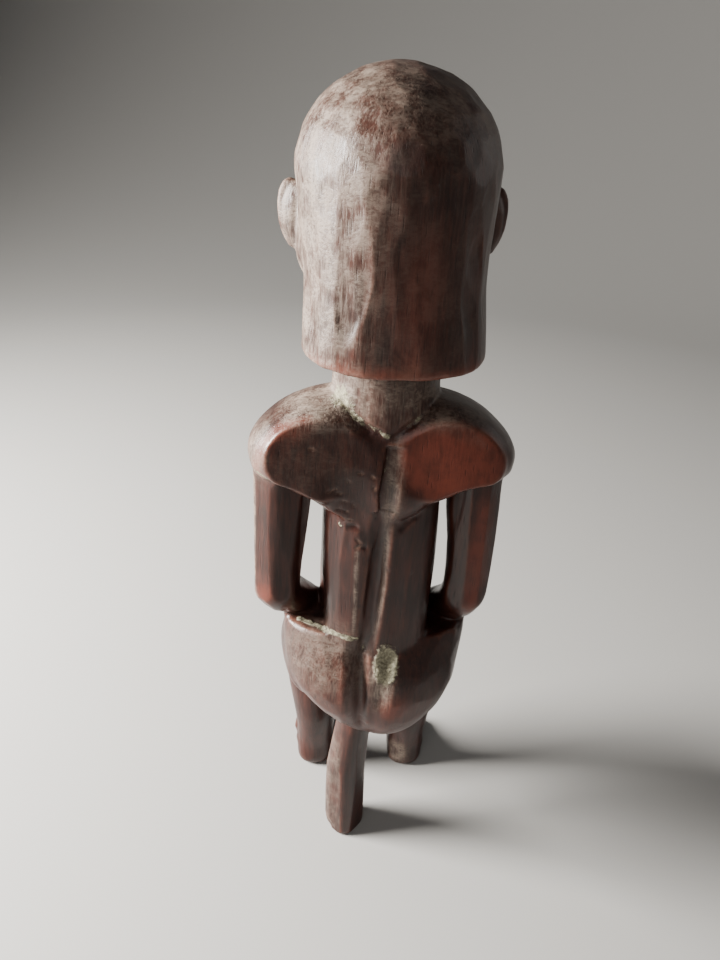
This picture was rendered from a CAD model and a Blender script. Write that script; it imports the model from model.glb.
# %% [markdown]
# A reliquary guardian figure
#
# The real object is one carving from one block of dark wood: a crouching ancestor with a smooth
# helmet of hair, pillow shoulders and a peg that held it on the lid of a relic box. The packed
# model already has its form and its size, but with flat facets and no surface.
#
# The figure could be modelled anew beside it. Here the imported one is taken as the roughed-out
# block instead, and worked on in the order in which a carver works: round it off, cut the
# details, go over it with a knife, and let a hundred years of handling darken it. In this way
# the visible carving can't drift away from the solid that stands behind it.

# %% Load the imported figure
import math

import bmesh
import bpy
import numpy as np
from mathutils import Matrix, Vector
from mathutils.noise import noise as noise_at


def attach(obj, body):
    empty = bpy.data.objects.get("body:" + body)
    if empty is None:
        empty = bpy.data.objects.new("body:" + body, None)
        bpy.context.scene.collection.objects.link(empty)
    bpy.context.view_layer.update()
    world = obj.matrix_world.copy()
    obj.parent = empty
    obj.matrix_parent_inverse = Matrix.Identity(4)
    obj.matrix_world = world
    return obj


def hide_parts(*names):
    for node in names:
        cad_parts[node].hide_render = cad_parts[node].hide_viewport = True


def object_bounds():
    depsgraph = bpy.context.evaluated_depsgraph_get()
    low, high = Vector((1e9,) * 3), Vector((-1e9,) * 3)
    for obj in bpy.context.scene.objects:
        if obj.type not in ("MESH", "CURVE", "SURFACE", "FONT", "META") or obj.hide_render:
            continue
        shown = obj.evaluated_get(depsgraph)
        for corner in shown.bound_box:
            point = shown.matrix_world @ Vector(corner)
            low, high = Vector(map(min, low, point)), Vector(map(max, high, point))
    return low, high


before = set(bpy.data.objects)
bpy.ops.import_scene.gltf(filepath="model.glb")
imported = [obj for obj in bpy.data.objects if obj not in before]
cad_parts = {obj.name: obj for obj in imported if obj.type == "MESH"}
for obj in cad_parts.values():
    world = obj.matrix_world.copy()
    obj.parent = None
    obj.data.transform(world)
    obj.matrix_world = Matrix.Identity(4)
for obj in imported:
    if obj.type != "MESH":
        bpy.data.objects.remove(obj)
cad_low, cad_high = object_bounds()
roughed_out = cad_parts["guardian_figure"]

MM = 0.001
AXIS_Y = 15.1  # millimetres from the frame's origin back to the body's upright axis
print("packed figure, millimetres:", [round(size / MM, 1) for size in cad_high - cad_low])

# %% [markdown]
# The view
#
# The photograph looks down on the figure's back from close by, so its perspective is strong: the
# head is large and the feet are small. The camera is set up as a real one would be, by its place
# behind the body's axis, its height, and the angles it is turned, tipped and rolled by.

# %% The camera
IMAGE_HEIGHT = 960
FOCAL_PIXELS = 777
SENSOR_WIDTH = 36
CAMERA_BACK = 225.6
CAMERA_HEIGHT = 305.8
CAMERA_SHIFT_LEFT = 6.3
TURN = math.radians(3)
PITCH = math.radians(30)
ROLL = math.radians(3)


def photo_camera():
    back = Vector((math.sin(TURN), math.cos(TURN), 0))
    level_right = Vector((-math.cos(TURN), math.sin(TURN), 0))
    ahead = -back * math.cos(PITCH) - Vector((0, 0, 1)) * math.sin(PITCH)
    level_up = level_right.cross(ahead)
    right = level_right * math.cos(ROLL) + level_up * math.sin(ROLL)
    up = level_up * math.cos(ROLL) - level_right * math.sin(ROLL)
    place = back * CAMERA_BACK - level_right * CAMERA_SHIFT_LEFT
    place += Vector((0, AXIS_Y, CAMERA_HEIGHT))
    data = bpy.data.cameras.new("photo_camera")
    data.sensor_width = SENSOR_WIDTH
    data.lens = FOCAL_PIXELS / IMAGE_HEIGHT * SENSOR_WIDTH
    data.clip_start = 0.01
    camera = bpy.data.objects.new("photo_camera", data)
    turned = Matrix((right, up, -ahead)).transposed().to_4x4()
    camera.matrix_world = Matrix.Translation(place * MM) @ turned
    bpy.context.scene.collection.objects.link(camera)
    return camera


camera = photo_camera()
bpy.context.scene.camera = camera
print("camera lens, millimetres:", round(camera.data.lens, 2))

# %% [markdown]
# The stage
#
# A pale floor that curves up all round into a low wall shows no corner behind the figure. The light
# is that of a small studio. One strong soft light stands at the left, a little higher than the
# head, where the photograph's light comes from, so the figure's right side stays in the shade. A
# wide weak one over the camera lets the dark wood show its colour, and a faint one from the far
# right keeps the shaded edge clear of its shadow.

# %% The floor
FLOOR_FLAT = 0.75
FLOOR_CURVE = 0.9
FLOOR_SIDES = 96
FLOOR_RINGS = 24
FLOOR_COLOUR = (0.32, 0.313, 0.302)
FLOOR_ROUGHNESS = 0.9


def plain_material(name, colour, roughness):
    material = bpy.data.materials.new(name)
    material.use_nodes = True
    shader = material.node_tree.nodes["Principled BSDF"]
    shader.inputs["Base Color"].default_value = (*colour, 1)
    shader.inputs["Roughness"].default_value = roughness
    return material


def studio_floor():
    shape = bmesh.new()
    centre = shape.verts.new((0, 0, 0))
    inner = None
    for ring in range(FLOOR_RINGS + 1):
        bend = math.radians(90) * ring / FLOOR_RINGS
        radius = FLOOR_FLAT + FLOOR_CURVE * math.sin(bend)
        height = FLOOR_CURVE * (1 - math.cos(bend))
        outer = []
        for side in range(FLOOR_SIDES):
            angle = 2 * math.pi * side / FLOOR_SIDES
            outer.append(shape.verts.new((radius * math.cos(angle), radius * math.sin(angle), height)))
        for side in range(FLOOR_SIDES):
            after = (side + 1) % FLOOR_SIDES
            if inner is None:
                shape.faces.new((centre, outer[side], outer[after]))
            else:
                shape.faces.new((inner[side], outer[side], outer[after], inner[after]))
        inner = outer
    mesh = bpy.data.meshes.new("studio_floor")
    shape.to_mesh(mesh)
    shape.free()
    mesh.polygons.foreach_set("use_smooth", [True] * len(mesh.polygons))
    mesh.materials.append(plain_material("pale_floor", FLOOR_COLOUR, FLOOR_ROUGHNESS))
    floor = bpy.data.objects.new("studio_floor", mesh)
    bpy.context.scene.collection.objects.link(floor)
    return floor


print("stage: floor of", len(studio_floor().data.polygons), "faces")

# %% Lights and air
LIGHT_AIM = Vector((0, 0, 0.16))  # metres, about the middle of the back
AIR_COLOUR = (0.80, 0.82, 0.85, 1)
AIR_STRENGTH = 0.10


def soft_light(name, place, size, watts, colour):
    data = bpy.data.lights.new(name, "AREA")
    data.shape = "DISK"
    data.size = size
    data.energy = watts
    data.color = colour
    light = bpy.data.objects.new(name, data)
    light.location = place
    light.rotation_euler = (Vector(place) - LIGHT_AIM).to_track_quat("Z", "Y").to_euler()
    bpy.context.scene.collection.objects.link(light)


soft_light("window_light", (0.62, -0.02, 0.36), 0.30, 42.0, (1.0, 0.97, 0.92))
soft_light("camera_fill", (0.25, 0.75, 0.60), 0.6, 1.8, (1.0, 0.96, 0.92))
soft_light("right_edge", (-0.65, -0.15, 0.45), 0.5, 0.45, (1.0, 0.97, 0.94))
world = bpy.data.worlds.new("studio")
world.use_nodes = True
air = world.node_tree.nodes["Background"]
air.inputs["Color"].default_value = AIR_COLOUR
air.inputs["Strength"].default_value = AIR_STRENGTH
bpy.context.scene.world = world
print("lights aimed", round(LIGHT_AIM.z, 3), "metres up, air strength", AIR_STRENGTH)

# %% [markdown]
# The block, roughed out
#
# A carver leaves the small features as lumps and cuts them out later. The face, ears, fingers and
# toes are such lumps here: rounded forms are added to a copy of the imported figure, and one voxel
# remesh melts them all into a single skin. Boolean unions would do it too, but they keep every
# facet and break on grazing surfaces, and a remesh leaves an even net that can be carved.
#
# The face is a plain one of the kind, calm, with closed lids: the photograph shows none of it.

# %% A ball and a roll
BALL_AROUND = 28
BALL_DOWN = 16
SIDES = (1, -1)  # the figure's left is +X and its right is -X


def unit_ball():
    """The points and triangles of a ball of radius 1, as two arrays."""
    ball = bmesh.new()
    bmesh.ops.create_uvsphere(ball, u_segments=BALL_AROUND, v_segments=BALL_DOWN, radius=1)
    bmesh.ops.triangulate(ball, faces=ball.faces)
    ball.verts.ensure_lookup_table()
    corners = np.array([vert.co for vert in ball.verts])
    triangles = np.array([[vert.index for vert in face.verts] for face in ball.faces])
    ball.free()
    return corners, triangles


BALL_POINTS, BALL_TRIANGLES = unit_ball()


def ball(centre, halves, tip=(0, 0, 0)):
    turned = BALL_POINTS * np.array(halves, float)
    for axis, angle in zip("XYZ", tip):
        turned = turned @ np.array(Matrix.Rotation(math.radians(angle), 3, axis)).T
    return turned + np.array(centre, float)


def roll(ends, radii, bulge=(0, 0, 0), beads=14):
    """A rounded roll from one end to the other, its middle pushed out by bulge."""
    start, stop = (np.array(end, float) for end in ends)
    balls = []
    for bead in range(beads):
        along = bead / (beads - 1)
        arch = 4 * along * (1 - along)
        centre = start + (stop - start) * along + np.array(bulge) * arch
        radius = radii[0] + (radii[1] - radii[0]) * along
        balls.append(ball(centre, (radius, radius, radius)))
    return balls


print("triangles in a ball:", len(BALL_TRIANGLES))


# %% Face
def face_forms():
    forms = [
        ball((0, -28.6, 227.5), (8.5, 8, 5.2)),
        ball((0, -36.6, 245.2), (3.7, 4, 3.9)),
        ball((0, -31.8, 235.3), (9.4, 5.2, 2.6)),
        ball((0, -31.4, 231.7), (8.2, 5.4, 2.8)),
    ]
    forms += roll(((0, -32.6, 264), (0, -35.8, 247)), (2.7, 3.3), beads=20)
    for side in SIDES:
        brow = ((side * 3, -34.4, 262), (side * 22.5, -29.4, 258.5))
        forms += roll(brow, (1.9, 1.6), (0, -1.8, 3), 24)
        forms.append(ball((side * 3.9, -34.8, 244), (2.7, 3.6, 2.9)))
        forms.append(ball((side * 12, -30, 255.7), (6.5, 4.1, 3.2), (0, side * 6, 0)))
        forms.append(ball((side * 11.8, -29.6, 252.6), (5.9, 3.8, 2.4), (0, side * 6, 0)))
        forms.append(ball((side * 11.5, -24, 246), (10, 9.4, 10)))
        forms.append(ball((side * 17, -26.6, 249.6), (5.6, 5, 7.4)))
    return forms


print("forms in the face:", len(face_forms()))

# %% Ears, hands and feet
EAR_BEADS = 30
TOES = 5


def ear_forms(side):
    forms = [
        ball((side * 27.2, -13.4, 256.6), (1.8, 1.8, 2.6)),
        ball((side * 29.2, -12, 250.9), (2.2, 2, 2.2)),
    ]
    for bead in range(EAR_BEADS):
        angle = math.radians(-70 + 250 * bead / (EAR_BEADS - 1))
        across = 29.4 + 3.6 * math.cos(angle - math.radians(12))
        up = 258.8 + 8.7 * math.sin(angle)
        forms.append(ball((side * across, -12.6, up), (1.25, 1.5, 1.25)))
    return forms


def hand_forms(side):
    forms = roll(((side * 13.6, -21, 107), (side * 12.4, -29, 102.6)), (2.1, 1.7), (-side * 0.8, 0, 0.6))
    for finger, reach in ((-1.5, -1.2), (-0.5, 0), (0.5, 0.3), (1.5, -0.4)):
        across = side * 18.6 + finger * 3.15
        ends = ((across, -25.5, 105.9), (across, -35.6 - reach, 98.9 - reach))
        forms += roll(ends, (1.85, 1.6), (0, -0.6, 0.9))
    return forms


def foot_forms(side):
    middle = 20.9 if side > 0 else 24.9
    forms = [
        ball((side * (middle - 7.9), -35.6, 13), (2.2, 4, 4.2)),
        ball((side * (middle + 5.5), -36.4, 12), (2.2, 4, 4)),
    ]
    for toe in range(TOES):
        across = side * (middle + (toe - 2) * 3.5 + 0.1)
        width = 2.2 - 0.16 * toe
        tip = -57.4 + 0.5 * toe
        forms += roll(((across, -50, 4.6), (across, tip, width + 0.1)), (width + 0.3, width), (0, 0, 0.8))
    return forms


print("forms on the left side:", len(ear_forms(1)), len(hand_forms(1)), len(foot_forms(1)))

# %% Melt them together
VOXEL = 0.58


def roughed_out_block():
    """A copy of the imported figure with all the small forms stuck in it, as loose shells."""
    shape = bmesh.new()
    shape.from_mesh(roughed_out.data)
    bmesh.ops.remove_doubles(shape, verts=shape.verts, dist=0.001 * MM)
    bmesh.ops.triangulate(shape, faces=shape.faces)
    corners = [np.array([vert.co for vert in shape.verts])]
    triangles = [np.array([[vert.index for vert in face.verts] for face in shape.faces])]
    shape.free()
    forms = face_forms()
    for side in SIDES:
        forms += ear_forms(side) + hand_forms(side) + foot_forms(side)
    first = len(corners[0])
    for form in forms:
        corners.append((form + (0, AXIS_Y, 0)) * MM)
        triangles.append(BALL_TRIANGLES + first)
        first += len(form)
    mesh = bpy.data.meshes.new("guardian")
    mesh.from_pydata(np.concatenate(corners).tolist(), [], np.concatenate(triangles).tolist())
    print("small forms added:", len(forms))
    return mesh


def apply_modifiers(piece):
    """Makes what the modifiers give the piece's own plain mesh."""
    graph = bpy.context.evaluated_depsgraph_get()
    mesh = bpy.data.meshes.new_from_object(piece.evaluated_get(graph), depsgraph=graph)
    old = piece.data
    piece.modifiers.clear()
    piece.data = mesh
    bpy.data.meshes.remove(old)


guardian = bpy.data.objects.new("guardian", roughed_out_block())
bpy.context.scene.collection.objects.link(guardian)
melt = guardian.modifiers.new("melt", "REMESH")
melt.mode = "VOXEL"
melt.voxel_size = VOXEL * MM
apply_modifiers(guardian)
print("melted block:", len(guardian.data.polygons), "faces")

# %% [markdown]
# Working on the points
#
# From here on the carving is done on the net's own points. Sculpt brushes would do this by hand,
# but a script has to give the same result each time, so each tool is a small function over arrays:
# it reads all points and normals, works out how deep it cuts at each, and moves them. All places
# are in millimetres from the body's upright axis, the way the figure was measured.

# %% Points and normals
def read_points(mesh):
    flat = np.empty(len(mesh.vertices) * 3, np.float32)
    mesh.vertices.foreach_get("co", flat)
    return flat.reshape(-1, 3).astype(float) / MM - (0, AXIS_Y, 0)


def write_points(mesh, points):
    flat = (points + (0, AXIS_Y, 0)) * MM
    mesh.vertices.foreach_set("co", flat.astype(np.float32).ravel())
    mesh.update()


def read_normals(mesh):
    flat = np.empty(len(mesh.vertices) * 3, np.float32)
    mesh.vertex_normals.foreach_get("vector", flat)
    return flat.reshape(-1, 3).astype(float)


def read_edges(mesh):
    flat = np.empty(len(mesh.edges) * 2, np.int32)
    mesh.edges.foreach_get("vertices", flat)
    return flat.reshape(-1, 2)


def write_mask(mesh, name, values):
    layer = mesh.attributes.new(name, "FLOAT", "POINT")
    layer.data.foreach_set("value", np.clip(values, 0, 1).astype(np.float32))


print("points in the net:", len(guardian.data.vertices))


# %% Smoothing
def smoothed(points, edges, rounds):
    first, second = edges.T
    count = np.maximum(np.bincount(edges.ravel(), minlength=len(points)), 1)
    points = points.copy()
    for _ in range(rounds):
        for axis in range(3):
            total = np.bincount(first, points[second, axis], len(points))
            total += np.bincount(second, points[first, axis], len(points))
            points[:, axis] += 0.5 * (total / count - points[:, axis])
    return points


def soft_step(low, high, value):
    share = np.clip((value - low) / (high - low), 0, 1)
    return share * share * (3 - 2 * share)


def spot(points, centre, radii, feather=0.3):
    """1 inside an ellipsoid and 0 outside it, with a feathered edge."""
    distance = np.linalg.norm((points - centre) / np.array(radii, float), axis=1)
    return 1 - soft_step(1 - feather, 1 + feather, distance)


def finely_cut(points):
    """Where the small forms are, which mustn't be rounded off: face, ears, hands and feet."""
    share = spot(points, (0, -34, 243), (25, 15, 24), 0.5)
    for side in SIDES:
        share = np.maximum(share, spot(points, (side * 31, -11, 257), (5, 8, 14)))
        share = np.maximum(share, spot(points, (side * 17, -29, 103), (11, 12, 10)))
        share = np.maximum(share, spot(points, (side * 22, -50, 3), (15, 14, 9)))
    return share


points = read_points(guardian.data)
print("share of finely cut points:", round(float(finely_cut(points).mean()), 3))

# %% Edges and lines that stay crisp
COLLAR_LEFT = [
    (15.5, 7, 208.2), (12.6, 11, 207.2), (9.6, 13.8, 205.7), (5, 16.4, 203.1), (-0.5, 17.4, 200.6),
]
COLLAR_RIGHT = [
    (-0.5, 17.4, 200.6), (-4, 16.8, 202.2), (-8.5, 15, 204.8), (-13, 10.5, 207.6), (-16, 6.5, 209),
]
BLADE_LEFT = [
    (40, 11, 186), (37.5, 15, 185.4), (32, 16.4, 182.6), (24.8, 16.4, 179.2), (17, 15.6, 172.4),
    (13, 14.6, 167),
]
BLADE_RIGHT = [
    (-39, 11, 186), (-34.3, 16, 185.6), (-27, 15.8, 181.6), (-17.6, 16.6, 177.6), (-11.8, 17, 172),
    (-6, 17.4, 170),
]
SPINE = [
    (-0.8, 18, 198), (-0.4, 19, 191), (0.5, 20, 182), (-0.1, 18.8, 174), (-0.2, 17, 161), (0.5, 16.6, 144),
    (1.6, 16.8, 127), (2.7, 18, 113), (2.5, 20, 104), (2, 20.8, 93.6), (2, 19.4, 81), (2.4, 16, 73),
]
SPINE_RIDGE = [(-1.6, 18, 176), (-2, 17, 161), (-1.9, 17, 144), (-1.2, 17, 130), (0, 17, 121)]
WAIST_LEFT = [
    (26, 2.3, 117.4), (19.4, 6.6, 118), (14.8, 11.6, 119.8), (13.4, 13.8, 120.4), (9.5, 15.8, 120.6),
    (4.4, 16.7, 120),
]
WAIST_RIGHT = [(-30, 8, 116.4), (-24, 13, 117.6), (-16, 15.6, 118.4)]
CRISP = (COLLAR_LEFT, COLLAR_RIGHT, BLADE_LEFT, BLADE_RIGHT, WAIST_LEFT, WAIST_RIGHT)


def from_line(points, line):
    """How far each point is from a broken line, on which side of it, and how far along."""
    line = np.array(line, float)
    spans = len(line) - 1
    nearest = np.full(len(points), np.inf)
    side = np.zeros(len(points))
    share = np.zeros(len(points))
    for span in range(spans):
        course = line[span + 1] - line[span]
        along = np.clip((points - line[span]) @ course / (course @ course), 0, 1)
        apart = points - line[span] - along[:, None] * course
        distance = np.linalg.norm(apart, axis=1)
        closer = distance < nearest
        nearest[closer] = distance[closer]
        side[closer] = apart[closer, 0]
        share[closer] = (span + along[closer]) / spans
    return nearest, side, share


def along_line(points, line, width):
    """1 on a broken line, fading to 0 at its width."""
    return 1 - soft_step(0.3, 1, from_line(points, line)[0] / width)


print("crisp lines:", len(CRISP), "and the spine in", len(SPINE), "places")

# %% Round off the facets
ROUNDS_FINE = 4
ROUNDS_BODY = 40
RIM_LOW = 222  # millimetres up, where the hair's lower rim begins
RIM_TOP = 226
SWELL = 0.2  # smoothing shrinks the figure, and this gives it back
PANEL_SWELL = 0.25

edges = read_edges(guardian.data)
lightly = smoothed(points, edges, ROUNDS_FINE)
heavily = smoothed(lightly, edges, ROUNDS_BODY)
rim = spot(points, (0, 0, 224), (44, 44, 3.2))
keep = np.maximum(finely_cut(points), 0.8 * rim)
for line in CRISP:
    keep = np.maximum(keep, 0.85 * along_line(points, line, 5))
keep = keep[:, None]
rounded = lightly * keep + heavily * (1 - keep)
write_points(guardian.data, rounded)
hair_panel = soft_step(RIM_LOW, RIM_TOP, rounded[:, 2]) * (1 - soft_step(258, 270, rounded[:, 2]))
swell = (SWELL + PANEL_SWELL * hair_panel) * (1 - finely_cut(rounded))
rounded = rounded + swell[:, None] * read_normals(guardian.data)
write_points(guardian.data, rounded)
print("rounded off", len(points), "points; the most moved by",
      round(float(np.abs(rounded - points).max()), 2), "mm")

# %% [markdown]
# The large cuts
#
# The flat backs of the shoulder blades, the flats along the arms, the squared peg, the line round
# the base of the neck, the spine groove and the parted hips are each one deliberate cut on the
# real figure. Four tools make them all. Paring takes off what stands proud of a plane near a
# place, and flattening also fills what lies under it. Hollowing sinks a soft dip. Grooving cuts a
# V along a broken line, and its two walls may differ in width: high on the back the spine's left
# wall is steep and its right wall is a broad slope that catches the light, and on the hips it is
# the other way round.

# %% The four tools
def unit(direction):
    direction = np.array(direction, float)
    return direction / np.linalg.norm(direction)


def pare(points, place, lean, reach, deepest=1.5):
    """A flat cut through a place, square to lean, felt as far as the reach."""
    lean = unit(lean)
    proud = np.clip((points - place) @ lean, 0, deepest)
    return points - (proud * spot(points, place, reach))[:, None] * lean


def flatten(points, place, lean, reach, cut, fill, feather=0.15):
    """Presses the surface near a place onto a plane, with limits to how far it sinks or rises."""
    lean = unit(lean)
    proud = np.clip((points - place) @ lean, -fill, cut)
    return points - (proud * spot(points, place, reach, feather))[:, None] * lean


def groove(points, normals, line, walls, depth, taper=0.12):
    """A V cut along a broken line. The walls are its widths to the figure's left and right."""
    away, side, share = from_line(points, line)
    width = np.where(side > 0, walls[0], walls[1])
    ends = soft_step(0, taper, share) * soft_step(0, taper, 1 - share)
    return points - (depth * np.clip(1 - away / width, 0, 1) * ends)[:, None] * normals


def hollow(points, normals, place, reach, depth):
    """A dip that fades out evenly from the middle of its place."""
    return points - (depth * spot(points, place, reach, 0.9))[:, None] * normals


# %% Shoulder blades and arms
ARM_TOP = (32.2, 1, 180)
ARM_ELBOW = (34.0, 4.3, 136)
LEFT_FLATS = (-70, -18, 34, 86)  # degrees from straight back towards the outside
RIGHT_FLATS = (-34, 4.5, 43.5)
ARM_TAPER = 0.036

normals = read_normals(guardian.data)
points = rounded
for side in SIDES:
    blade = (side * 20.5, 18.7, 192)
    points = flatten(points, blade, (side * 0.01, 0.985, 0.15), (17, 10, 13.8), 2.4, 1.7, 0.12)
    points = hollow(points, normals, (side * 11, 19, 188), (8, 6, 10), 0.5)
    thin = 0 if side > 0 else 1
    top = np.array(ARM_TOP) * (side, 1, 1)
    elbow = (np.array(ARM_ELBOW) - (0.8 * thin, 0, 0)) * (side, 1, 1)
    down = unit(elbow - top)
    for angle in LEFT_FLATS if side > 0 else RIGHT_FLATS:
        turn = math.radians(angle)
        out = np.array((side * math.sin(turn), math.cos(turn), 0))
        out = unit(out - (out @ down) * down)
        place = (top + elbow) / 2 + out * (8.6 - 0.7 * thin)
        points = pare(points, place, out + ARM_TAPER * down, (13, 13, 27))
    mitre = (side * 37, 11.4, 131.5)
    points = pare(points, mitre, (side * 0.55, 0.6, -0.58), (8, 8, 8), 2)
points = flatten(points, (9, 17.7, 177), (0.05, 0.99, -0.1), (7, 6, 13), 2.4, 0.6, 0.6)
print("arm flats cut:", len(LEFT_FLATS) + len(RIGHT_FLATS))

# %% Neck line, spine, column and hips
SPINE_MIDDLE = [(0, 19, 175.4)] + SPINE[4:8]
HIP_VALLEY = [(-5.2, 17.5, 118), (-5.4, 20, 108), (-4.4, 21.6, 98), (-3.6, 21.5, 90)]
COLUMN_INNER = [(-7.6, 16.6, 168), (-7.2, 16.6, 140), (-6.8, 16.6, 121)]
COLUMN_OUTER = [(-13.4, 14.6, 166), (-13, 14.8, 140), (-12.6, 14.6, 122)]
EASE_ROUNDS = 5

points = groove(points, normals, COLLAR_LEFT, (1.4, 1.4), 1)
points = groove(points, normals, COLLAR_RIGHT, (1.4, 1.4), 1)
points = groove(points, normals, BLADE_LEFT[:-1], (1.5, 1.5), 0.9)
points = groove(points, normals, BLADE_RIGHT, (1.5, 1.5), 1)
points = groove(points, normals, WAIST_LEFT[1:], (1.4, 1.4), 0.8)
points = groove(points, normals, SPINE[:4], (1, 5.8), 2, 0.03)
points = groove(points, normals, SPINE_MIDDLE, (3.2, 4), 1.9, 0.03)
points = groove(points, normals, SPINE[-6:], (7.8, 1.6), 3.1, 0.26)
points = groove(points, normals, HIP_VALLEY, (3, 4.4), 1.2, 0.25)
points = pare(points, (7.4, 16.5, 143), (0.36, 0.93, 0), (6, 6, 26), 1)
points = groove(points, normals, COLUMN_INNER, (2, 3.4), 0.4, 0.2)
points = groove(points, normals, COLUMN_OUTER, (2.4, 2.4), 0.35, 0.2)
points = pare(points, (13.6, 13.4, 143), (0.66, 0.75, 0), (6, 6, 26), 1)
eased = 0.8 * along_line(points, SPINE[6:], 7)[:, None]
points = points * (1 - eased) + smoothed(points, edges, EASE_ROUNDS) * eased
print("deepest cut so far:", round(float(np.abs(points - rounded).max()), 2), "mm")

# %% The squared peg
PEG_MIDDLE = (6, -0.5, 26)
PEG_TURN = 49
PEG_FLAT = 7.3
for quarter in range(4):
    turn = math.radians(PEG_TURN + 90 * quarter)
    out = np.array((math.cos(turn), math.sin(turn), 0))
    points = pare(points, PEG_MIDDLE + out * PEG_FLAT, out, (10, 10, 34))
print("peg squared,", 2 * PEG_FLAT, "mm across its flats")

# %% Chips
CHIP_DEPTH = 0.45
CHIPS = [
    ((-8.2, 16.6, 168.6), (0.5, 0.75, 0.45), 2.6), ((14.6, 18.6, 176), (-0.3, 0.8, -0.5), 2.2),
    ((10.6, 18.2, 172.6), (0.4, 0.8, -0.4), 1.8), ((8.6, 16.4, 167), (0.2, 0.9, 0.4), 2),
    ((13.4, 19.8, 180.4), (0.1, 0.95, 0.3), 1.5), ((-26.6, 17.8, 183), (-0.2, 0.8, -0.6), 1.6),
    ((12.4, 2.6, 4), (0.75, 0.3, -0.5), 3.4), ((4.4, 16.8, 160), (0.6, 0.8, 0.2), 1.1),
    ((-20, 28, 225.6), (-0.1, 0.6, -0.8), 2), ((24.6, 22.6, 225), (0.4, 0.5, -0.75), 2),
]
for place, lean, width in CHIPS:
    low = np.array(place) - CHIP_DEPTH * unit(lean)
    points = pare(points, low, lean, (width, width, width), 1)
print("chips:", len(CHIPS))

# %% Nicks
NICK_WIDTH = 0.75
NICK_DEPTH = 0.3
NICKS = [
    ((17.2, 182.2), (14.2, 183.2)), ((14.6, 182), (13, 181.2)), ((11.2, 186.1), (10.4, 185.6)),
    ((7.6, 189.2), (6.8, 188.8)), ((3.6, 188.2), (3, 187.7)), ((14, 174.9), (10.8, 173.9)),
    ((12.8, 171.4), (9.4, 170.3)), ((7.4, 162.9), (5.8, 161.4)), ((5.9, 160.6), (7.2, 159.3)),
    ((2.8, 184.6), (2.5, 183.6)), ((12.2, 178.3), (11.2, 177.8)), ((9.2, 177.4), (8.7, 176.1)),
    ((-28.2, 181.6), (-28.5, 180.4)), ((23, 196.6), (22, 196.2)), ((-3.4, 151.4), (-3.8, 150.4)),
]


def nick(points, normals, ends):
    """How strongly a short scratch on the back is felt. Its ends are given as seen from behind."""
    seen = points[:, ::2]
    start = np.array(ends[0], float)
    course = ends[1] - start
    along = np.clip((seen - start) @ course / (course @ course), 0, 1)
    away = np.linalg.norm(seen - start - along[:, None] * course, axis=1)
    on_the_back = (normals[:, 1] > 0.4) & (points[:, 1] > 10)
    return np.clip(1 - away / NICK_WIDTH, 0, 1) * on_the_back


nicked = np.zeros(len(points))
for ends in NICKS:
    nicked = np.maximum(nicked, nick(points, normals, ends))
points = points - NICK_DEPTH * nicked[:, None] * normals
write_mask(guardian.data, "nicked", nicked)
write_points(guardian.data, points)
print("nicks:", len(NICKS))

# %% [markdown]
# Going over it with the knife
#
# All over the head, back and limbs the real wood shows the flats of a knife: rounder ones on the
# dome, long upright ones on the hair panel, column and arms. They repeat and follow the surface,
# so Geometry Nodes make them. Seats for the cuts are scattered over the smooth carving, in a
# squeezed copy of it, so that cuts become longer than wide. Each point then looks up its nearest
# seat and is cut back to a very shallow dish round that seat, never below it. A repeat zone goes
# over the figure several times, each time with new seats, which always lie on the smooth carving.
# So neighbouring flats meet in a clean ridge instead of digging ever deeper.

# %% Node helpers
def socket_of(sockets, key):
    """A socket by its index, or by its name among those that the node really uses."""
    if isinstance(key, int):
        return sockets[key]
    return next(socket for socket in sockets if socket.name == key and socket.enabled)


def node(tree, kind, inputs=None, output=0, **settings):
    """Adds a node, sets or links its inputs, and hands back one of its outputs."""
    made = tree.nodes.new(kind)
    for name, value in settings.items():
        setattr(made, name, value)
    for key, value in (inputs or {}).items():
        socket = socket_of(made.inputs, key)
        if isinstance(value, bpy.types.NodeSocket):
            tree.links.new(value, socket)
        else:
            socket.default_value = value
    if output == 0:
        return next(socket for socket in made.outputs if socket.enabled)
    return socket_of(made.outputs, output)


def number(tree, operation, first, second=0.0):
    return node(tree, "ShaderNodeMath", {0: first, 1: second}, operation=operation)


def ramp(tree, value, low, high, start=0.0, end=1.0):
    """A soft step: start where the value is at or below low, end where it is at or above high."""
    inputs = {"Value": value, "From Min": low, "From Max": high, "To Min": start, "To Max": end}
    return node(tree, "ShaderNodeMapRange", inputs, interpolation_type="SMOOTHSTEP")


# %% What the knife takes in
KNIFE_INPUTS = [
    ("Width", "NodeSocketFloat"), ("Stretch", "NodeSocketFloat"), ("Depth", "NodeSocketFloat"),
    ("Roundness", "NodeSocketFloat"), ("Tilt", "NodeSocketFloat"), ("Passes", "NodeSocketInt"),
    ("Seed", "NodeSocketInt"), ("Zone", "NodeSocketString"), ("Wood", "NodeSocketMaterial"),
]


def stored(tree, geometry, name, value):
    inputs = {"Geometry": geometry, "Name": name, "Value": value}
    return node(tree, "GeometryNodeStoreNamedAttribute", inputs, data_type="FLOAT_VECTOR")


def recalled(tree, name, kind="FLOAT_VECTOR"):
    return node(tree, "GeometryNodeInputNamedAttribute", {"Name": name}, data_type=kind)


def vector(tree, operation, first, second, output=0):
    return node(tree, "ShaderNodeVectorMath", {0: first, 1: second}, output, operation=operation)


def scaled(tree, first, scale):
    return node(tree, "ShaderNodeVectorMath", {0: first, "Scale": scale}, operation="SCALE")


print("inputs of the knife:", len(KNIFE_INPUTS))

# %% Seats for the cuts
SEATS_TRIED = 5.0  # in a square as wide as a cut, before those too close to others are dropped


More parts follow.
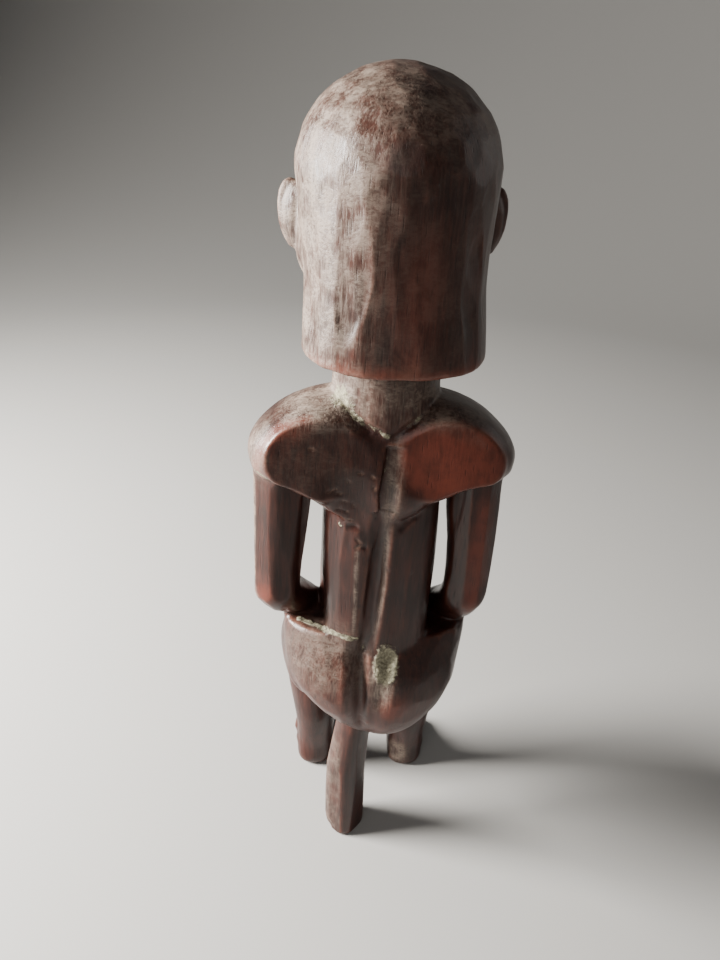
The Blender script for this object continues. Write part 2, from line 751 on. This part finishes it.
def scattered_seats(tree, given, squeezed, round_number):
    """One round's seats, each with its own lean, tilted a little at random."""
    width = given["Width"]
    seed = node(tree, "FunctionNodeIntegerMath", {0: given["Seed"], 1: round_number}, operation="ADD")
    crowd = number(tree, "DIVIDE", SEATS_TRIED, number(tree, "MULTIPLY", width, width))
    scatter = {"Mesh": squeezed, "Distance Min": width, "Density Max": crowd, "Seed": seed}
    seats = node(tree, "GeometryNodeDistributePointsOnFaces", scatter, "Points", distribute_method="POISSON")
    chance = node(tree, "FunctionNodeRandomValue", {"Min": (-1, -1, -1), "Max": (1, 1, 1), "Seed": seed},
                  data_type="FLOAT_VECTOR")
    slanted = vector(tree, "ADD", recalled(tree, "lean"), scaled(tree, chance, given["Tilt"]))
    return stored(tree, seats, "lean", vector(tree, "NORMALIZE", slanted, (0, 0, 0)))


# %% How deep a cut goes
DEEPEST_CUT = 1.3  # times the depth
FADE_FROM = 0.38  # of the width, away from the seat
FADE_TO = 0.5
TURNED_AWAY = 0.6  # no cut where a point's facing agrees less than this with its seat's
SAME_FACE = 0.85


def cut_and_lean(tree, given, seats, place, squeezed_place):
    """How deep each point is cut, and the direction that its nearest seat leans in."""
    looking = {"Geometry": seats, "Sample Position": squeezed_place}
    nearest = node(tree, "GeometryNodeSampleNearest", looking)

    def at_seat(value):
        inputs = {"Geometry": seats, "Value": value, "Index": nearest}
        return node(tree, "GeometryNodeSampleIndex", inputs, data_type="FLOAT_VECTOR")

    lean = at_seat(recalled(tree, "lean"))
    from_seat = vector(tree, "SUBTRACT", place, at_seat(recalled(tree, "seat")))
    height = vector(tree, "DOT_PRODUCT", from_seat, lean, "Value")
    away = vector(tree, "DISTANCE", squeezed_place, at_seat(place), "Value")
    belly = number(tree, "MULTIPLY", number(tree, "MULTIPLY", away, away), given["Roundness"])
    proud = number(tree, "SUBTRACT", number(tree, "ADD", height, given["Depth"]), belly)
    most = number(tree, "MULTIPLY", given["Depth"], DEEPEST_CUT)
    cut = number(tree, "MINIMUM", number(tree, "MAXIMUM", proud, 0.0), most)
    inner = number(tree, "MULTIPLY", given["Width"], FADE_FROM)
    outer = number(tree, "MULTIPLY", given["Width"], FADE_TO)
    cut = number(tree, "MULTIPLY", cut, ramp(tree, away, inner, outer, 1.0, 0.0))
    agree = vector(tree, "DOT_PRODUCT", recalled(tree, "lean"), lean, "Value")
    cut = number(tree, "MULTIPLY", cut, ramp(tree, agree, TURNED_AWAY, SAME_FACE))
    return number(tree, "MULTIPLY", cut, recalled(tree, given["Zone"], "FLOAT")), lean


# %% The knife as a node tree
FACING_ROUNDS = 6


def knife_tree():
    tree = bpy.data.node_groups.new("knife_cuts", "GeometryNodeTree")
    tree.interface.new_socket("Geometry", in_out="INPUT", socket_type="NodeSocketGeometry")
    tree.interface.new_socket("Geometry", in_out="OUTPUT", socket_type="NodeSocketGeometry")
    for name, kind in KNIFE_INPUTS:
        tree.interface.new_socket(name, in_out="INPUT", socket_type=kind)
    given = tree.nodes.new("NodeGroupInput").outputs

    place = node(tree, "GeometryNodeInputPosition")
    normal = node(tree, "GeometryNodeInputNormal")
    facing = node(tree, "GeometryNodeBlurAttribute", {"Value": normal, "Iterations": FACING_ROUNDS},
                  data_type="FLOAT_VECTOR")
    carving = stored(tree, stored(tree, given["Geometry"], "seat", place), "lean", facing)
    flatter = number(tree, "DIVIDE", 1.0, given["Stretch"])
    squeeze = node(tree, "ShaderNodeCombineXYZ", {"X": 1.0, "Y": 1.0, "Z": flatter})
    squeezed_place = vector(tree, "MULTIPLY", place, squeeze)
    squeezed = node(tree, "GeometryNodeSetPosition", {"Geometry": carving, "Position": squeezed_place})

    again = tree.nodes.new("GeometryNodeRepeatInput")
    done = tree.nodes.new("GeometryNodeRepeatOutput")
    again.pair_with_output(done)
    tree.links.new(given["Passes"], again.inputs["Iterations"])
    tree.links.new(carving, again.inputs["Geometry"])
    seats = scattered_seats(tree, given, squeezed, again.outputs["Iteration"])
    cut, lean = cut_and_lean(tree, given, seats, place, squeezed_place)
    back = scaled(tree, lean, number(tree, "MULTIPLY", cut, -1.0))
    pared = node(tree, "GeometryNodeSetPosition", {"Geometry": again.outputs["Geometry"], "Offset": back})
    tree.links.new(pared, done.inputs["Geometry"])

    finished = done.outputs["Geometry"]
    for name in ("seat", "lean"):
        finished = node(tree, "GeometryNodeRemoveAttribute", {"Geometry": finished, "Name": name})
    finished = node(tree, "GeometryNodeRealizeInstances", {"Geometry": finished})
    finished = node(tree, "GeometryNodeSetMaterial", {"Geometry": finished, "Material": given["Wood"]})
    result = tree.nodes.new("NodeGroupOutput")
    tree.links.new(finished, result.inputs["Geometry"])
    return tree


knife = knife_tree()
print("nodes in the knife's tree:", len(knife.nodes))


# %% Where the knife goes
def most_of(*shares):
    return np.maximum.reduce(shares)


def knife_zones(points, normals):
    """The shares of round cuts, of the panel's long cuts and of the limbs' light ones."""
    x, y, z = points.T
    soft = 1 - finely_cut(points)
    dome = soft_step(258, 272, z)
    behind = soft_step(-18, -4, y)
    blades = most_of(*(spot(points, (side * 22, 18, 191), (17, 8, 14)) for side in SIDES))
    hips = soft_step(66, 76, z) * (1 - soft_step(112, 118, z)) * soft_step(0, 8, y)
    hips = hips * (1 - along_line(points, SPINE[6:], 12))
    level = soft_step(0.8, 0.95, np.abs(normals[:, 2])) * (1 - dome)
    panel = soft_step(RIM_LOW, RIM_TOP, z) * (1 - dome)
    panel = panel * soft_step(4, 14, y) * (1 - soft_step(22, 28, np.abs(x)))
    peg = spot(points, PEG_MIDDLE, (12, 12, 40))
    limbs = soft * (1 - soft_step(RIM_LOW, RIM_TOP, z)) * (1 - 0.9 * blades)
    limbs = limbs * (1 - hips) * (1 - level) * (1 - 0.6 * peg)
    return soft * np.maximum(dome * behind, 0.7 * hips), soft * panel, limbs


zones = knife_zones(points, read_normals(guardian.data))
for name, share in zip(("round_cuts", "long_cuts", "light_cuts"), zones):
    write_mask(guardian.data, name, share)
    print(name, "on a share of", round(float(share.mean()), 2))

# %% Three knives
PASSES = 6
dark_wood = bpy.data.materials.new("handled_wood")
dark_wood.use_nodes = True
KNIVES = {
    "long_knife": {
        "Width": 10 * MM, "Stretch": 4.2, "Depth": 0.36 * MM, "Roundness": 13.0, "Tilt": 0.03,
        "Passes": PASSES, "Seed": 11, "Zone": "long_cuts", "Wood": dark_wood,
    },
    "light_knife": {
        "Width": 6.5 * MM, "Stretch": 6.0, "Depth": 0.1 * MM, "Roundness": 10.0, "Tilt": 0.02,
        "Passes": 3, "Seed": 23, "Zone": "light_cuts", "Wood": dark_wood,
    },
    "round_knife": {
        "Width": 9 * MM, "Stretch": 1.25, "Depth": 0.25 * MM, "Roundness": 6.0, "Tilt": 0.04,
        "Passes": PASSES, "Seed": 31, "Zone": "round_cuts", "Wood": dark_wood,
    },
}
identifiers = {item.name: item.identifier for item in knife.interface.items_tree if item.in_out == "INPUT"}
for name, values in KNIVES.items():
    modifier = guardian.modifiers.new(name, "NODES")
    modifier.node_group = knife
    for key, value in values.items():
        modifier[identifiers[key]] = value
before = read_points(guardian.data)
apply_modifiers(guardian)
depths = np.linalg.norm(read_points(guardian.data) - before, axis=1)
print("deepest knife cut:", round(float(depths.max()), 2), "mm; mean:", round(float(depths.mean()), 3), "mm")

# %% [markdown]
# A hundred years of handling
#
# Age follows the form. Hands wear the edges to a lighter red-brown, dirt and old offerings collect
# as a pale crust in the hollows, and half of the head has gone grey and dull. These places can't
# be guessed by a texture alone, so they are measured on the carving and kept as masks on its
# points: how far each point lies below or above the smoothed surface tells hollow from edge. The
# other patches are put where the photograph shows them. Only the crust is thick enough to feel,
# so its crumbs are raised in the net itself.

# %% Measure hollows and edges
AGE_ROUNDS = 14
points = smoothed(read_points(guardian.data), edges, 1)
write_points(guardian.data, points)
normals = read_normals(guardian.data)
sunk = np.sum((smoothed(points, edges, AGE_ROUNDS) - points) * normals, axis=1)
print("hollows and edges, millimetres:", round(float(sunk.max()), 2), round(float(sunk.min()), 2))

# %% Where the crust lies
def crust_share(points, sunk):
    body = points[:, 2] < 226
    hollows = soft_step(0.16, 0.6, sunk) * np.where(body, 0.5, 0.1)
    waist = along_line(points, WAIST_LEFT, 2.1) * 0.72
    nape = along_line(points, COLLAR_LEFT, 1.6) * 0.75
    nape_right = along_line(points, COLLAR_RIGHT, 1.3) * 0.6
    under_left = along_line(points, BLADE_LEFT, 1.5) * 0.8
    under_right = along_line(points, BLADE_RIGHT, 1.2) * 0.5
    middle = along_line(points, SPINE[7:-1], 0.8) * 0.4
    patch = spot(points, (-5.4, 19, 110.5), (4.4, 6, 8.4), 0.5)
    neck = spot(points, (13, 9, 209.5), (4.5, 5.5, 4.5), 0.9) * 0.75
    return most_of(hollows, waist, nape, nape_right, under_left, under_right, middle, patch, neck)


crust = crust_share(points, sunk)
print("share under crust:", round(float(crust.mean()), 3))

# %% Raise the crust
CRUST_THICK = 0.32
CRUST_EVEN = 0.5  # the share of the thickness that is there without any crumbs
CRUST_CRUMBS = 1.2
CRUMB_SIZE = 1.5
CRUST_STARTS = 0.3
CRUST_FULL = 0.6

thick = np.zeros(len(points))
for index in np.flatnonzero(crust > CRUST_STARTS):
    crumb = noise_at(Vector(points[index]) / CRUMB_SIZE)
    grown = soft_step(CRUST_STARTS, CRUST_FULL, crust[index])
    thick[index] = CRUST_THICK * grown * (CRUST_EVEN + CRUST_CRUMBS * crumb)
points = points + np.maximum(thick, 0)[:, None] * normals
write_mask(guardian.data, "crust", crust)
write_mask(guardian.data, "worn_edge", soft_step(0.04, 0.2, -sunk))
print("thickest crust:", round(float(thick.max()), 2), "mm")

# %% Where the dust lies
COLUMN_RIDGE = [(6.9, 17, 158), (6.8, 17, 144), (6.6, 17, 122)]


def dust_share(points, normals):
    x, y, z = points.T
    hair = soft_step(RIM_LOW, 224, z) * soft_step(-24, -12, y)
    side = soft_step(0, 22, x + 0.16 * (z - 250))
    crown = soft_step(276, 292, z)
    head = (0.25 + 0.75 * hair) * soft_step(RIM_LOW, 224, z) * np.maximum(0.1 + 0.66 * side, 0.5 * crown)
    below = 1 - soft_step(216, 223, z)
    hip = spot(points, (16, 14, 109), (17, 16, 14), 0.7)
    shoulder = soft_step(201, 208, z) * below * 0.5
    shoulder_end = spot(points, (41, 8, 193), (7, 10, 11), 0.8) * 0.6
    round_crust = spot(points, (-4.2, 20, 103), (4.4, 5, 11), 0.6)
    wall = spot(points, (-3.4, 19, 184), (2.6, 5, 17), 0.5) * 0.55
    ridge = along_line(points, COLUMN_RIDGE, 1.2) * 0.7
    middle = along_line(points, SPINE_RIDGE, 2.3) * 0.7
    heel = spot(points, (-19.6, -30, 9), (4.6, 4, 7), 0.7) * 0.9
    peg_face = soft_step(0.5, 0.75, normals[:, 0]) * spot(points, PEG_MIDDLE, (12, 12, 36)) * 0.36
    nape = soft_step(200, 206, z) * soft_step(4, 12, x) * soft_step(-14, -4, y) * below * 0.8
    blade = spot(points, (22, 18.7, 192), (14, 5, 11), 0.6) * 0.12
    arm = soft_step(0.55, 0.9, normals[:, 0]) * spot(points, (42, 6, 160), (7, 14, 30), 0.5) * 0.75
    body = most_of(0.4 * hip, shoulder, shoulder_end, round_crust, wall, ridge, middle, heel, peg_face)
    return most_of(head, body, nape, blade, arm)


dust = dust_share(points, normals)
write_mask(guardian.data, "dust", dust)
print("share under dust:", round(float(dust.mean()), 3))

# %% Where it is rubbed
LEFT_RIM = [(38.6, 13, 185), (37.6, 15, 194), (33, 15.6, 200.6), (24, 16, 204)]
HIP_EDGE = [(8.6, 18, 116), (9.6, 19.6, 106), (10.4, 21.4, 98), (8.6, 20, 84)]


def rubbed_share(points):
    y, z = points[:, 1], points[:, 2]
    blade = spot(points, (-21, 18.7, 192.6), (16.4, 7, 12.6), 0.3)
    left_rim = along_line(points, LEFT_RIM, 4) * 0.75
    streak = spot(points, (-6, 31, 242), (5, 9, 20), 0.9) * 0.45
    panel_rim = soft_step(228, 225, z) * soft_step(RIM_LOW, 224, z) * soft_step(10, 20, y) * 0.8
    right_arm = spot(points, (-34.4, 10, 150), (3, 5, 27), 0.4) * 0.9
    elbow = spot(points, (38.6, 10, 135), (4.5, 6, 5), 0.8) * 0.7
    hip = spot(points, (-9, 22, 92), (4.5, 6, 6), 0.7)
    low_hips = soft_step(104, 84, z) * soft_step(60, 72, z) * soft_step(0, 12, y) * 0.2
    edge = along_line(points, HIP_EDGE, 1.8) * 0.7
    return most_of(blade, left_rim, streak, panel_rim, right_arm, elbow, hip, low_hips, edge)


rubbed_places = rubbed_share(points)
write_mask(guardian.data, "rubbed", rubbed_places)
print("share rubbed:", round(float(rubbed_places.mean()), 3))

# %% [markdown]
# The net that is handed over
#
# The carving mustn't be larger than the solid it stands for, so the last stray points are held
# inside the solid's box. The net also has far more triangles than its smooth parts need. Decimate
# takes them out where the surface is flattest and keeps them along the ridges, where another
# remesh would blur the knife's work. It can leave specks that have shrunk to a point, so points in
# the same place are merged afterwards and the surface stays closed.

# %% Stay inside the solid's box
CLEARANCE = 0.001
low = np.array(cad_low) / MM - (0, AXIS_Y, 0) + CLEARANCE
high = np.array(cad_high) / MM - (0, AXIS_Y, 0) - CLEARANCE
inside = np.clip(points, low, high)
write_points(guardian.data, inside)
print("points held inside the box:", int((inside != points).any(axis=1).sum()))

# %% Fewer triangles
TRIANGLES = 192000
SAME_PLACE = 0.0001
thin_out = guardian.modifiers.new("thin_out", "DECIMATE")
thin_out.ratio = TRIANGLES / (2 * len(guardian.data.polygons))
thin_out.use_collapse_triangulate = True
apply_modifiers(guardian)
shape = bmesh.new()
shape.from_mesh(guardian.data)
bmesh.ops.remove_doubles(shape, verts=shape.verts, dist=SAME_PLACE * MM)
loose = [vert for vert in shape.verts if not vert.link_faces]
bmesh.ops.delete(shape, geom=loose, context="VERTS")
shape.to_mesh(guardian.data)
shape.free()
guardian.data.polygons.foreach_set("use_smooth", [True] * len(guardian.data.polygons))
print("finished carving:", len(guardian.data.polygons), "triangles")

# %% [markdown]
# The wood and its age as one material
#
# The bare wood is a tight-grained brown-black with a red heart that shows where it is rubbed. The
# layers are laid over each other as they are on the real figure: grain first, then rubbed red
# patches and worn edges, grey dust, and the pale crust on top. Each layer's own noise breaks up
# the mask that places it, so no edge looks painted. A noise that is squeezed upright gives grain
# and pores, because the figure was cut along the trunk.

# %% Coordinates and colour helpers
tree = dark_wood.node_tree
wood_shader = tree.nodes["Principled BSDF"]


def stretched(squeeze, turn=(0, 0, 0)):
    """Object coordinates in millimetres from the body's axis, squeezed and turned."""
    place = node(tree, "ShaderNodeTexCoord", output="Object")
    upright = {"Vector": place, "Location": (0, -AXIS_Y, 0), "Scale": (1 / MM, 1 / MM, 1 / MM)}
    measured = node(tree, "ShaderNodeMapping", upright)
    return node(tree, "ShaderNodeMapping", {"Vector": measured, "Scale": squeeze, "Rotation": turn})


def noise(place, scale, detail=3.0, rough=0.5, warp=0.0):
    inputs = {"Vector": place, "Scale": scale, "Detail": detail, "Roughness": rough, "Distortion": warp}
    return node(tree, "ShaderNodeTexNoise", inputs)


def mask(name):
    return node(tree, "ShaderNodeAttribute", output="Fac", attribute_name=name)


def over(share, below, above):
    """A colour laid over another one, as strongly as its share says."""
    inputs = {"Factor": share, "A": below, "B": above}
    for key in ("A", "B"):
        if isinstance(inputs[key], tuple):
            inputs[key] = (*inputs[key], 1)
    return node(tree, "ShaderNodeMix", inputs, data_type="RGBA")


def times(first, second):
    return number(tree, "MULTIPLY", first, second)


def plus(first, second):
    return number(tree, "ADD", first, second)


# %% Grain, pores and scratches
even = stretched((1, 1, 1))
mottle = noise(even, 0.045, 3, 0.55)
cloud = noise(even, 0.16, 4, 0.6)
grain = noise(stretched((1, 1, 0.1)), 0.75, 6, 0.62, 0.4)
fibre = noise(stretched((1, 1, 0.05)), 3.4, 3, 0.6)
pore_cells = node(tree, "ShaderNodeTexVoronoi", {"Vector": stretched((1, 1, 0.09)), "Scale": 0.9})
pores = ramp(tree, pore_cells, 0.1, 0.24, 1.0, 0.0)
rasp_one = noise(stretched((1.1, 1.1, 0.16), (0, math.radians(38), 0)), 1.3, 4, 0.65, 0.3)
rasp_two = noise(stretched((0.4, 0.9, 1), (0, math.radians(-40), math.radians(20))), 1.2, 4, 0.65, 0.3)
rasp = node(tree, "ShaderNodeMix", {"Factor": ramp(tree, cloud, 0.44, 0.56), "A": rasp_one, "B": rasp_two})
lumps = noise(even, 0.5, 5, 0.62, 0.5)
specks = noise(even, 1.0, 4, 0.6)
textures = [item for item in tree.nodes if item.bl_idname in ("ShaderNodeTexNoise", "ShaderNodeTexVoronoi")]
print("textures made:", len(textures))

# %% Colours
DARK = (0.014, 0.0046, 0.0036)
RED_BROWN = (0.043, 0.0115, 0.0075)
RUBBED = (0.118, 0.025, 0.014)
WORN = (0.130, 0.042, 0.024)
DUST_DARK = (0.130, 0.096, 0.075)
DUST_PALE = (0.225, 0.178, 0.142)
CRUST_DARK = (0.13, 0.117, 0.08)
CRUST = (0.270, 0.250, 0.172)
PORE = (0.006, 0.003, 0.003)
NICK = (0.17, 0.10, 0.07)

heart = plus(times(grain, 0.62), times(mottle, 0.5))
colour = over(ramp(tree, heart, 0.4, 0.76), DARK, RED_BROWN)
rubbed = times(mask("rubbed"), ramp(tree, plus(times(cloud, 0.6), times(grain, 0.4)), 0.28, 0.6, 0.35, 1.0))
colour = over(rubbed, colour, RUBBED)
worn = times(mask("worn_edge"), ramp(tree, cloud, 0.34, 0.64, 0.05, 0.5))
colour = over(worn, colour, WORN)
sandy = plus(times(rasp, 0.45), times(cloud, 0.55))
veil = plus(plus(times(cloud, 0.42), times(rasp, 0.44)), times(grain, 0.14))
dusty = times(mask("dust"), ramp(tree, veil, 0.36, 0.6, 0.15, 0.95))
colour = over(dusty, colour, over(ramp(tree, sandy, 0.38, 0.62), DUST_DARK, DUST_PALE))
colour = over(times(pores, 0.35), colour, PORE)
crumbs = plus(mask("crust"), times(number(tree, "SUBTRACT", lumps, 0.5), 1.3))
crusted = times(ramp(tree, crumbs, 0.36, 0.7), ramp(tree, mask("crust"), 0.05, 0.3))
colour = over(crusted, colour, over(ramp(tree, specks, 0.35, 0.65), CRUST_DARK, CRUST))
colour = over(times(mask("nicked"), ramp(tree, lumps, 0.4, 0.6, 0.0, 0.6)), colour, NICK)
tree.links.new(colour, wood_shader.inputs["Base Color"])
print("nodes for the colour:", len(tree.nodes))

# %% Gloss and relief
SHEEN_OF_WOOD = 0.32
RELIEF_STRENGTH = 0.55
RELIEF_HEIGHT = 0.3

gloss = plus(times(fibre, 0.14), times(cloud, 0.18))
gloss = plus(gloss, 0.17)
gloss = plus(gloss, times(dusty, 0.32))
gloss = plus(gloss, times(crusted, 0.4))
tree.links.new(gloss, wood_shader.inputs["Roughness"])
wood_shader.inputs["Specular IOR Level"].default_value = SHEEN_OF_WOOD

relief = plus(times(fibre, 0.1), times(grain, 0.22))
relief = number(tree, "SUBTRACT", relief, times(pores, 0.2))
relief = plus(relief, times(times(rasp, dusty), 1.1))
relief = plus(relief, times(times(lumps, crusted), 2.6))
bumps = {"Strength": RELIEF_STRENGTH, "Distance": RELIEF_HEIGHT * MM, "Height": relief}
bump = node(tree, "ShaderNodeBump", bumps)
tree.links.new(bump, wood_shader.inputs["Normal"])
print("wood nodes:", len(tree.nodes))

# %% Put the carving in the figure's place
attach(guardian, "root")
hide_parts("guardian_figure")
print("in the figure's place:", guardian.name)
